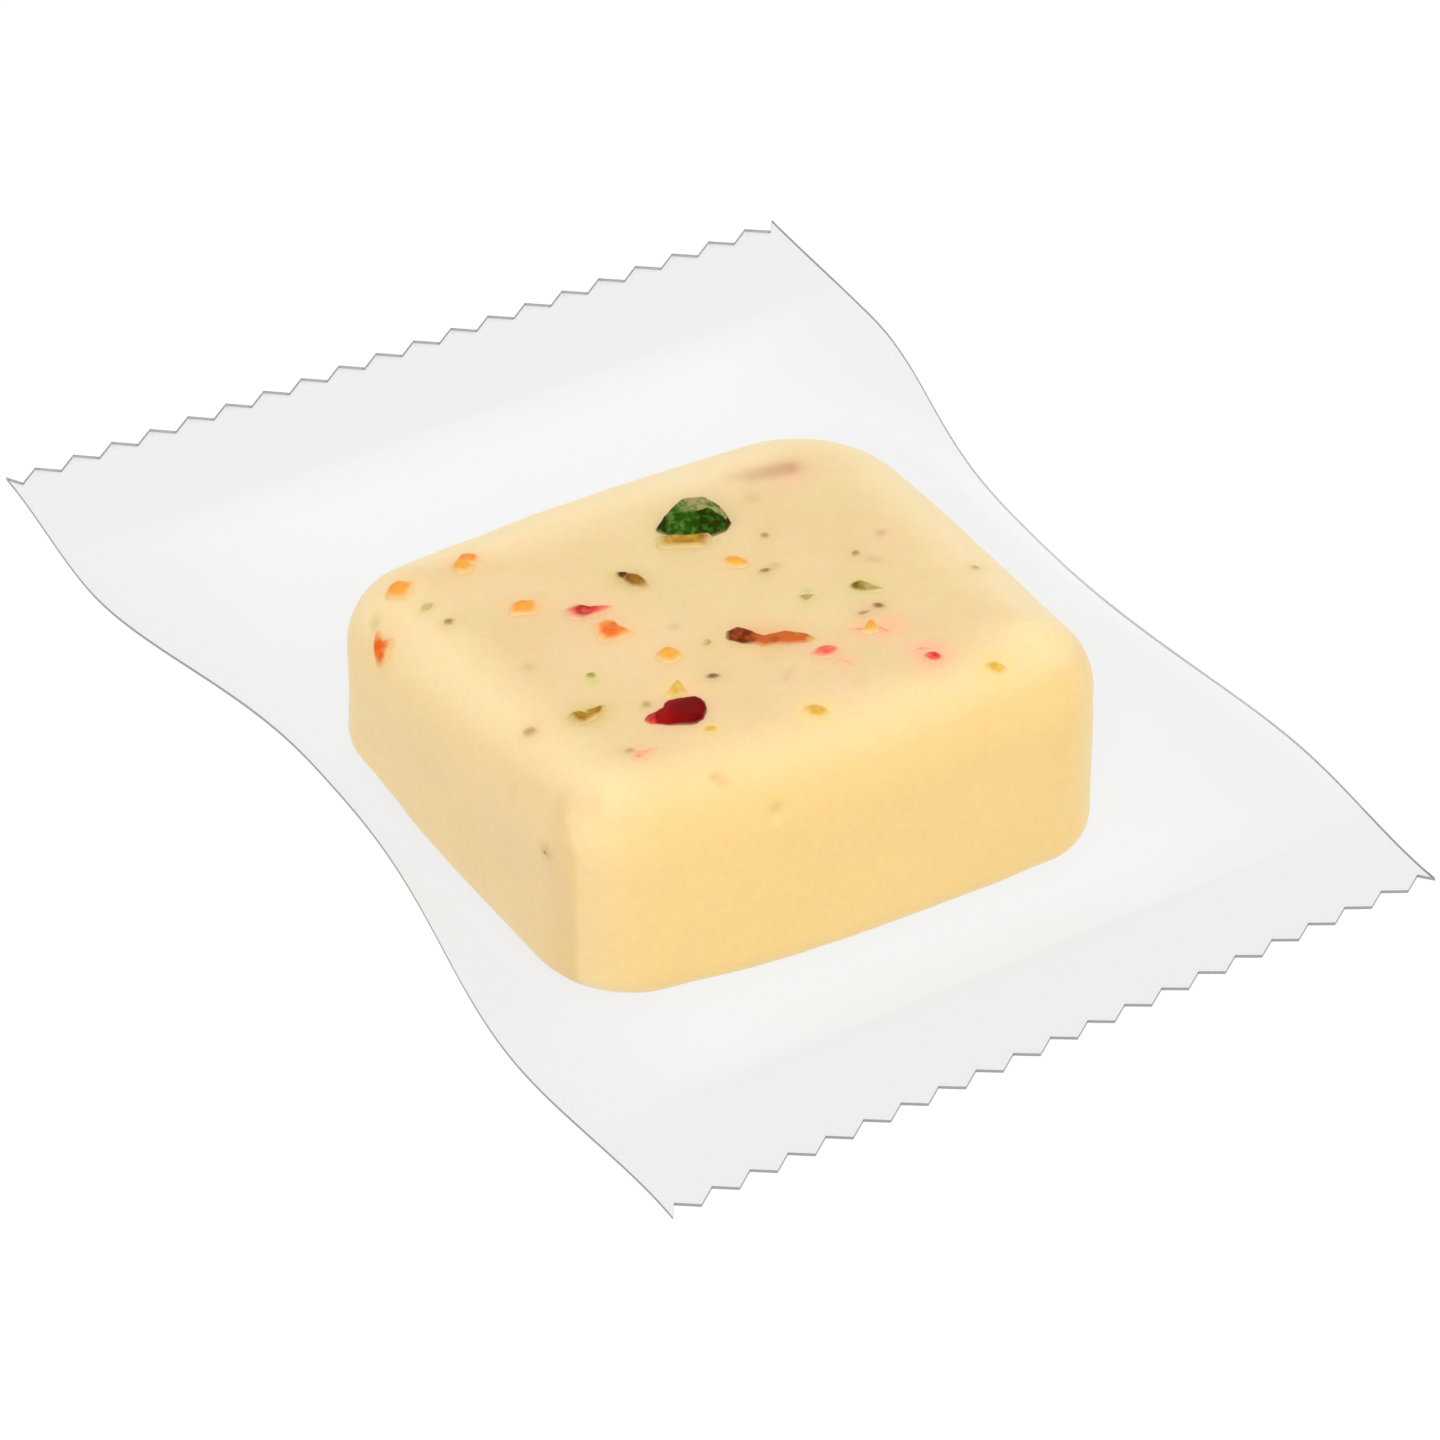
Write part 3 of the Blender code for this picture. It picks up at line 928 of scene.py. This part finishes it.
def sweet_material(grain):
    """Milk sweet: matt and slightly see-through cream, with mottling and stains, and painted highlights on its
    edges, painted light and shade on its left wall and painted warm light on its front.
    """
    material, tree = new_tree("milk_sweet")
    uneven = add_grain(tree, grain, 5 * MM, 0.5 * MM)
    cream, deep = (0.800, 0.610, 0.318, 1), (0.772, 0.566, 0.280, 1)
    highlight_tone, painted_shade_tone = (0.890, 0.702, 0.392, 1), (0.680, 0.500, 0.255, 1)
    colour = mix_colours(tree, uneven.outputs["Blotches"], deep, cream)
    broad = add_grain(tree, grain, 11 * MM, 0.5 * MM)
    drift = rescale(tree, broad.outputs["Blotches"], 0.2, 1.0, 0.0, 0.6)
    colour = mix_colours(tree, drift, colour, (0.830, 0.585, 0.330, 1))
    # Painted light and shade on the left wall: lighter towards its far end, darker before the front left corner
    wall = mesh_value(tree, "painted_wall_shading")
    painted_light = calculate(tree, "MAXIMUM", wall, 0.0)
    painted_shade = calculate(tree, "MAXIMUM", calculate(tree, "MULTIPLY", wall, -1.0), 0.0)
    colour = mix_colours(tree, painted_light, colour, (0.890, 0.660, 0.314, 1))
    colour = mix_colours(tree, painted_shade, colour, painted_shade_tone)
    # Painted highlight along the rounded edges and corners
    colour = mix_colours(tree, mesh_value(tree, "painted_edge_highlight"), colour, highlight_tone)
    # Painted warm light: faces turned to the front are given a warmer colour, less so where the edge highlight
    # is painted
    facing = add_node(tree, "TexCoord").outputs["Normal"]
    front = add_node(tree, "SeparateXYZ", {0: facing}).outputs["Y"]
    painted_warm_light = rescale(tree, front, -0.05, -0.95, 0.0, 0.72)
    plain_edge = calculate(tree, "MULTIPLY_ADD", mesh_value(tree, "painted_edge_highlight"), -0.45, 1.0)
    painted_warm_light = calculate(tree, "MULTIPLY", painted_warm_light, plain_edge)
    colour = mix_colours(tree, painted_warm_light, colour, (0.840, 0.585, 0.200, 1))
    stain = add_node(tree, "Attribute", attribute_name="stain")
    colour = mix_colours(tree, stain.outputs["Alpha"], colour, stain.outputs["Color"])
    fine = rescale(tree, uneven.outputs["Height"], 0.3, 0.7, 0.982, 1.012)
    colour = mix_colours(tree, 1.0, colour, fine, "MULTIPLY")
    rough = rescale(tree, uneven.outputs["Blotches"], 0.0, 1.0, 0.5, 0.62)
    bump = add_node(tree, "Bump", {
        "Strength": 0.3, "Distance": 0.04 * MM, "Height": uneven.outputs["Height"],
    })
    shader = add_node(tree, "BsdfPrincipled", {
        "Base Color": colour,
        "Roughness": rough,
        "Normal": bump.outputs[0],
        "Subsurface Weight": 0.35,
        "Subsurface Radius": (1.0, 0.6, 0.3),
        "Subsurface Scale": 1.2 * MM,
        "Specular IOR Level": 0.3,
        "Sheen Weight": 0.34,
        "Sheen Roughness": 0.4,
        "Sheen Tint": (1.0, 0.93, 0.66, 1),
    })
    finish_material(tree, shader.outputs[0])
    return material


def stain_of(point, stains):
    """Colour that the pieces bleed into the sweet at a point, and how strong it is."""
    total, mixed = 0.0, Vector((0, 0, 0))
    for place, reach, strength, colour in stains:
        near = (point - place).length_squared / (reach * reach)
        if near < 6:
            weight = strength * math.exp(-near)
            total += weight
            mixed += weight * Vector(colour)
    if total < 0.002:
        return (0.76, 0.57, 0.3, 0)
    return (*(mixed / total), min(total, 0.9))


def make_block(grain):
    """The block of sweet, and a tree for finding places on its surface."""
    bm = block_mesh()
    bm.normal_update()
    moves = [vert.normal * swell(vert.co) for vert in bm.verts]
    # The painted highlight of the edges, and the painted light and shade of the left wall, kept on the mesh
    marks_and_painted_light = {
        "painted_edge_highlight": [painted_edge_highlight(vert.co) for vert in bm.verts],
        "painted_wall_shading": [painted_wall_shading(vert.co) for vert in bm.verts],
    }
    for vert, move in zip(bm.verts, moves):
        vert.co += move
    for face in bm.faces:
        face.smooth = True
    surface = BVHTree.FromBMesh(bm)
    mesh = bpy.data.meshes.new("milk_block")
    bm.to_mesh(mesh)
    bm.free()
    for name, values in marks_and_painted_light.items():
        mesh.attributes.new(name, "FLOAT", "POINT").data.foreach_set("value", values)
    mesh.materials.append(sweet_material(grain))
    block = bpy.data.objects.new("milk_block", mesh)
    bpy.context.scene.collection.objects.link(block)
    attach(block, "root")
    return block, surface


def on_side(surface, side, place):
    """The point and normal of the block's surface at a place on its top, left or front."""
    if side == "top":
        start, direction = Vector((*place, POUCH_LENGTH)), Vector((0, 0, -1))
    elif side == "left":
        start, direction = Vector((-POUCH_WIDTH, *place)), Vector((1, 0, 0))
    else:
        start, direction = Vector((place[0], -POUCH_LENGTH, place[1])), Vector((0, 1, 0))
    point, normal, _, _ = surface.ray_cast(start, direction)
    return point, normal


def lay_on(point, normal, turn):
    """Axes for a piece that lies on a surface, turned about its normal from the photo's right."""
    right = Vector((math.cos(CAMERA_AZIMUTH), math.sin(CAMERA_AZIMUTH), 0))
    level = (right - normal * right.dot(normal)).normalized()
    along = level * math.cos(turn) + normal.cross(level) * math.sin(turn)
    axes = Matrix((along, normal.cross(along), normal)).transposed().to_4x4()
    return Matrix.Translation(point) @ axes


def chopped_outline(draw):
    """A chopped piece's outline as corners round its middle, reaching 1 along and across."""
    count = draw.choice((5, 6, 7))
    corners = []
    for k in range(count):
        turn = 2 * math.pi * (k + draw.uniform(-0.25, 0.25)) / count
        reach = draw.uniform(0.65, 1.05)
        corners.append((reach * math.cos(turn), reach * math.sin(turn)))
    widest = max(abs(x) for x, _ in corners)
    deepest = max(abs(y) for _, y in corners)
    return [(x / widest, y / deepest) for x, y in corners]


def outline_reach(corners, x, y):
    """How far the outline is from the middle in the direction of x and y."""
    length = math.hypot(x, y)
    if length < 1e-6:
        return 1
    x, y = x / length, y / length
    for (ax, ay), (bx, by) in zip(corners, (*corners[1:], corners[0])):
        turn_a, turn_b = x * ay - y * ax, x * by - y * bx
        if turn_a <= 0 < turn_b or turn_b <= 0 < turn_a:
            share = turn_a / (turn_a - turn_b)
            reach = (ax + share * (bx - ax)) * x + (ay + share * (by - ay)) * y
            if reach > 0:
                return reach
    return 1


def tone_at(tones, share):
    """The tone at a share of the way from a piece's left end to its right end."""
    place = min(max(share, 0), 1) * (len(tones) - 1)
    first = min(int(place), len(tones) - 2)
    return tones[first] + (place - first) * (tones[first + 1] - tones[first])


def add_chip(bm, surface, onto, size, rise, outline, tones, seed, fineness):
    """One chopped piece pressed into the surface: an uneven outline, a domed top and a few flat cuts."""
    layer, rim = bm.faces.layers.float["tone"], bm.verts.layers.float["rim"]
    draw = random.Random(seed)
    named = outline in OUTLINES
    corners = OUTLINES[outline] if named else chopped_outline(draw)
    made = bmesh.ops.create_icosphere(bm, subdivisions=fineness, radius=1.0)["verts"]
    cuts = []
    for _ in range(7):
        steep = draw.uniform(0.9, 1.8) if named else draw.uniform(0.5, 1.4)
        side = Vector((draw.uniform(-1, 1), draw.uniform(-1, 1), steep)).normalized()
        reach = draw.uniform(0.84, 0.94) if named else draw.uniform(0.68, 0.9)
        cuts.append((side, reach, draw.uniform(-0.12, 0.16)))
    offset = Vector((draw.uniform(0, 50), draw.uniform(0, 50), draw.uniform(0, 50)))
    outward = onto.to_3x3() @ Vector((0, 0, 1))
    shaped, spreads = {}, {}
    for vert in made:
        point = vert.co.copy()
        for side, reach, _ in cuts:
            over = point.dot(side) - reach
            if over > 0:
                point -= side * over
        flat = math.hypot(point.x, point.y)
        shaped[vert] = point
        spreads[vert] = flat ** (CHIP_SQUARENESS - 1) * outline_reach(corners, point.x, point.y) if flat else 1
    for face in {face for vert in made for face in vert.link_faces}:
        middle = sum((shaped[vert] for vert in face.verts), Vector()) / 3
        place = sum(shaped[vert].x * spreads[vert] for vert in face.verts) / 3
        shift = sum(extra for side, reach, extra in cuts if abs(middle.dot(side) - reach) < 0.004)
        face[layer] = min(max(tone_at(tones, (place + 1) / 2) + shift, 0), 1)
    for vert, point in shaped.items():
        flat = math.hypot(point.x, point.y)
        rough = 1 + 0.1 * noise.noise(point * 2.2 + offset)
        x, y = (part * spreads[vert] * rough for part in point.xy)
        level = (point.z * rough - CHIP_SUNK) / (0.85 - CHIP_SUNK)
        vert[rim] = max(flat ** CHIP_SQUARENESS, 1 - RIM_HEIGHT * max(level, 0))
        level = math.copysign(abs(level) ** CHIP_SOFTNESS, level)
        above = onto @ Vector((x * size[0] / 2, y * size[1] / 2, CHIP_REACH))
        foot = surface.ray_cast(above, -outward)[0] or above - outward * CHIP_REACH
        vert.co = foot + outward * rise * level


def finish_piece(bm, name, material, crease):
    """A mesh of chopped pieces as one named piece that takes its finish."""
    for face in bm.faces:
        face.smooth = True
    bm.normal_update()
    mesh = bpy.data.meshes.new(name)
    bm.to_mesh(mesh)
    bm.free()
    mesh.materials.append(material)
    mesh.set_sharp_from_angle(angle=math.radians(crease))
    piece = bpy.data.objects.new(name, mesh)
    bpy.context.scene.collection.objects.link(piece)
    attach(piece, "root")


def make_chips(name, material, chips, rise, surface, seed):
    """All the chopped pieces of one kind as one piece, each pressed into its side of the block."""
    bm = bmesh.new()
    bm.faces.layers.float.new("tone")
    bm.verts.layers.float.new("rim")
    rows = [(side, row) for side in chips for row in chips[side]]
    for k, (side, (u, v, length, width, turn, outline, *tones)) in enumerate(rows):
        point, normal = on_side(surface, side, (u * MM, v * MM))
        size = (length * MM, width * MM)
        height = min(rise[0] * min(size), rise[1])
        onto = lay_on(point, normal, math.radians(turn))
        fineness = 3 + sum(length > large for large in LARGE_CHIPS)
        add_chip(bm, surface, onto, size, height, outline, tones, seed + k, fineness)
    finish_piece(bm, name, material, 32)


def cut_tone(normal):
    """How dark a cut of the green nut is, from the way it looks."""
    return max((normal.dot(Vector(way).normalized()), tone) for way, tone in NUT_CUTS)[1]


def make_green_nut(material, surface):
    """The largest piece: a chunk of green nut with a few flat cuts, its foot sunk in the sweet."""
    bm = bmesh.new()
    layer = bm.faces.layers.float.new("tone")
    feet = [bm.verts.new(Vector((u, v, level)) * MM) for u, v in NUT_FOOT for level in (-NUT_SUNK, 0.05)]
    tops = [bm.verts.new(Vector(corner) * MM) for corner in NUT_TOP]
    hull = bmesh.ops.convex_hull(bm, input=feet + tops)
    left_over = set(hull["geom_interior"] + hull["geom_unused"])
    inner = [vert for vert in bm.verts if vert in left_over]
    bmesh.ops.delete(bm, geom=inner, context="VERTS")
    bmesh.ops.dissolve_limit(bm, angle_limit=NUT_FLATNESS, verts=bm.verts[:], edges=bm.edges[:])
    bmesh.ops.bevel(
        bm, geom=bm.edges[:], offset=NUT_BEVEL, segments=2, profile=0.5, affect="EDGES", clamp_overlap=True,
    )
    bmesh.ops.triangulate(bm, faces=bm.faces[:])
    bm.normal_update()
    for face in bm.faces:
        face[layer] = cut_tone(face.normal)
    bmesh.ops.subdivide_edges(bm, edges=bm.edges[:], cuts=3, use_grid_fill=True)
    bmesh.ops.recalc_face_normals(bm, faces=bm.faces)
    bm.normal_update()
    rim = bm.verts.layers.float.new("rim")
    for vert in bm.verts:
        vert[rim] = 1 - max(vert.co.z, 0) / MM
    moves = [vert.normal * NUT_ROUGHNESS * noise.noise(vert.co / (0.5 * MM)) for vert in bm.verts]
    point, normal = on_side(surface, "top", (NUT_PLACE[0] * MM, NUT_PLACE[1] * MM))
    onto = lay_on(point, normal, 0)
    for vert, move in zip(bm.verts, moves):
        vert.co = onto @ (vert.co + move)
    finish_piece(bm, "green_nut_chunk", material, 24)


def chip_material(name, grain, tones, roughness, stain, rim, wander=0.25, blotch=0.7 * MM):
    """A chopped nut, fruit or petal: its tones from end to end, broken up by blotches, under smeared sweet."""
    material, tree = new_tree(name)
    uneven = add_grain(tree, grain, blotch, 0.18 * MM, 1.5)
    drift = rescale(tree, uneven.outputs["Blotches"], 0.0, 1.0, -wander / 2, wander / 2)
    tone = calculate(tree, "ADD", mesh_value(tree, "tone"), drift, clamp=True)
    ramp = add_node(tree, "ValToRGB", {"Fac": tone})
    stops = ramp.color_ramp.elements
    while len(stops) < len(tones):
        stops.new(0.5)
    for k, colour in enumerate(tones):
        stops[k].position = k / (len(tones) - 1)
        stops[k].color = srgb(*colour)
    start, most = rim
    cover = rescale(tree, mesh_value(tree, "rim"), start, 1.0, 0.0, most)
    smear = [RIM_SWEET * sweet + (1 - RIM_SWEET) * part for sweet, part in zip(CREAM, srgb(*stain))]
    colour = mix_colours(tree, cover, ramp.outputs[0], smear)
    rough = rescale(tree, uneven.outputs["Height"], 0.3, 0.7, roughness - 0.08, roughness + 0.08)
    bump = add_node(tree, "Bump", {
        "Strength": 0.5, "Distance": 0.05 * MM, "Height": uneven.outputs["Height"],
    })
    shader = add_node(tree, "BsdfPrincipled", {
        "Base Color": colour,
        "Roughness": rough,
        "Normal": bump.outputs[0],
        "Specular IOR Level": 0.03,
    })
    finish_material(tree, shader.outputs[0])
    return material


def srgb(red, green, blue):
    """A colour given in the 0 to 255 tones of a screen, as the shader takes it."""
    parts = [part / 255 for part in (red, green, blue)]
    linear = [part / 12.92 if part <= 0.04045 else ((part + 0.055) / 1.055) ** 2.4 for part in parts]
    return (*linear, 1)


def make_toppings(surface, grain):
    """The green nut, and every other kind of chopped piece on the block."""
    nut = chip_material("green_nut", grain, NUT_TONES, 0.5, (150, 130, 60), NUT_RIM, 0.34, 0.4 * MM)
    make_green_nut(nut, surface)
    for k, (name, slot, finish, tones, rise, chips, stain, rim) in enumerate(CHIP_KINDS):
        material = chip_material(finish, grain, tones, 0.5, stain, rim)
        make_chips(name, material, chips, rise, surface, CHIP_SEED + 20 * k)


def make_stains(block, surface):
    """Colour that the pieces bleed into the sweet round them."""
    places = [((*NUT_PLACE, 0.9, 0.35), "top", (200, 180, 110))]
    for side, marks_and_painted_light in MARKS.items():
        places += [((*mark[:4],), side, mark[4]) for mark in marks_and_painted_light]
    for *_, chips, colour, _ in CHIP_KINDS:
        for side in chips:
            for u, v, length, width, *_ in chips[side]:
                reach = HALO_SHARE * (length + width) / 2 + HALO_REACH
                places.append(((u, v, reach, HALO_STRENGTH), side, colour))
    stains = []
    for (u, v, reach, strength), side, colour in places:
        point, _ = on_side(surface, side, (u * MM, v * MM))
        stains.append((point, reach * MM, strength, srgb(*colour)[:3]))
    layer = block.data.color_attributes.new("stain", "FLOAT_COLOR", "POINT")
    for vertex in block.data.vertices:
        layer.data[vertex.index].color = stain_of(vertex.co, stains)


def away_from_camera():
    """Unit vectors from the object to the camera, and to the camera's right and up."""
    back = Vector((
        math.sin(CAMERA_AZIMUTH) * math.cos(CAMERA_ELEVATION),
        -math.cos(CAMERA_AZIMUTH) * math.cos(CAMERA_ELEVATION),
        math.sin(CAMERA_ELEVATION),
    ))
    right = Vector((math.cos(CAMERA_AZIMUTH), math.sin(CAMERA_AZIMUTH), 0))
    return back, right, back.cross(right)


def make_camera():
    data = bpy.data.cameras.new("camera")
    data.lens = CAMERA_LENS
    data.sensor_width = CAMERA_SENSOR
    data.clip_start = 0.01
    data.clip_end = 20
    camera = bpy.data.objects.new("camera", data)
    bpy.context.scene.collection.objects.link(camera)
    back, right, up = away_from_camera()
    camera.rotation_mode = "QUATERNION"
    camera.rotation_quaternion = (-back).to_track_quat("-Z", "Y")
    camera.location = back * CAMERA_DISTANCE + right * AIM_RIGHT + up * AIM_UP
    bpy.context.scene.camera = camera


def make_floor():
    """A plain white floor, lit a little from within as a light table is, of smaller panes under the pouch."""
    places = (-3.0, -0.4, -0.1, -0.03, 0.02, 0.07, 0.2, 0.6, 3.0)
    bm = bmesh.new()
    add_grid(bm, [[(x, y, -0.05 * MM) for x in places] for y in places], True)
    mesh = bpy.data.meshes.new("floor")
    bm.to_mesh(mesh)
    bm.free()
    material, tree = new_tree("floor_white")
    shader = add_node(tree, "BsdfPrincipled", {
        "Base Color": (0.12, 0.12, 0.12, 1),
        "Roughness": 1.0,
        "Specular IOR Level": 0.0,
        "Emission Color": (1, 1, 1, 1),
        "Emission Strength": 0.88,
    })
    backside = add_node(tree, "NewGeometry").outputs["Backfacing"]
    clear = add_node(tree, "BsdfTransparent")
    surface = add_node(tree, "MixShader", {0: backside, 1: shader.outputs[0], 2: clear.outputs[0]})
    finish_material(tree, surface.outputs[0])
    mesh.materials.append(material)
    floor = bpy.data.objects.new("floor", mesh)
    bpy.context.scene.collection.objects.link(floor)


def make_light(name, azimuth, elevation, distance, size, power, colour):
    """A soft square light aimed at the block, which the camera doesn't see."""
    data = bpy.data.lights.new(name, "AREA")
    data.shape = "SQUARE"
    data.size = size
    data.energy = power
    data.color = colour
    light = bpy.data.objects.new(name, data)
    bpy.context.scene.collection.objects.link(light)
    a, e = math.radians(azimuth), math.radians(elevation)
    back = Vector((math.sin(a) * math.cos(e), -math.cos(a) * math.cos(e), math.sin(e)))
    light.location = back * distance
    light.rotation_mode = "QUATERNION"
    light.rotation_quaternion = (-back).to_track_quat("-Z", "Y")
    light.visible_camera = False


def make_world():
    world = bpy.data.worlds.new("studio")
    bpy.context.scene.world = world
    world.use_nodes = True
    background = world.node_tree.nodes["Background"]
    background.inputs["Color"].default_value = (1, 1, 1, 1)
    background.inputs["Strength"].default_value = 1.0


def main():
    scene = bpy.context.scene
    scene.view_settings.view_transform = "Standard"
    make_camera()
    make_world()
    make_floor()
    make_light("key", -26, 42, 0.6, 0.3, 1.4, (1.0, 0.97, 0.93))
    grain = grain_group()
    make_film()
    block, surface = make_block(grain)
    make_stains(block, surface)
    make_toppings(surface, grain)


main()
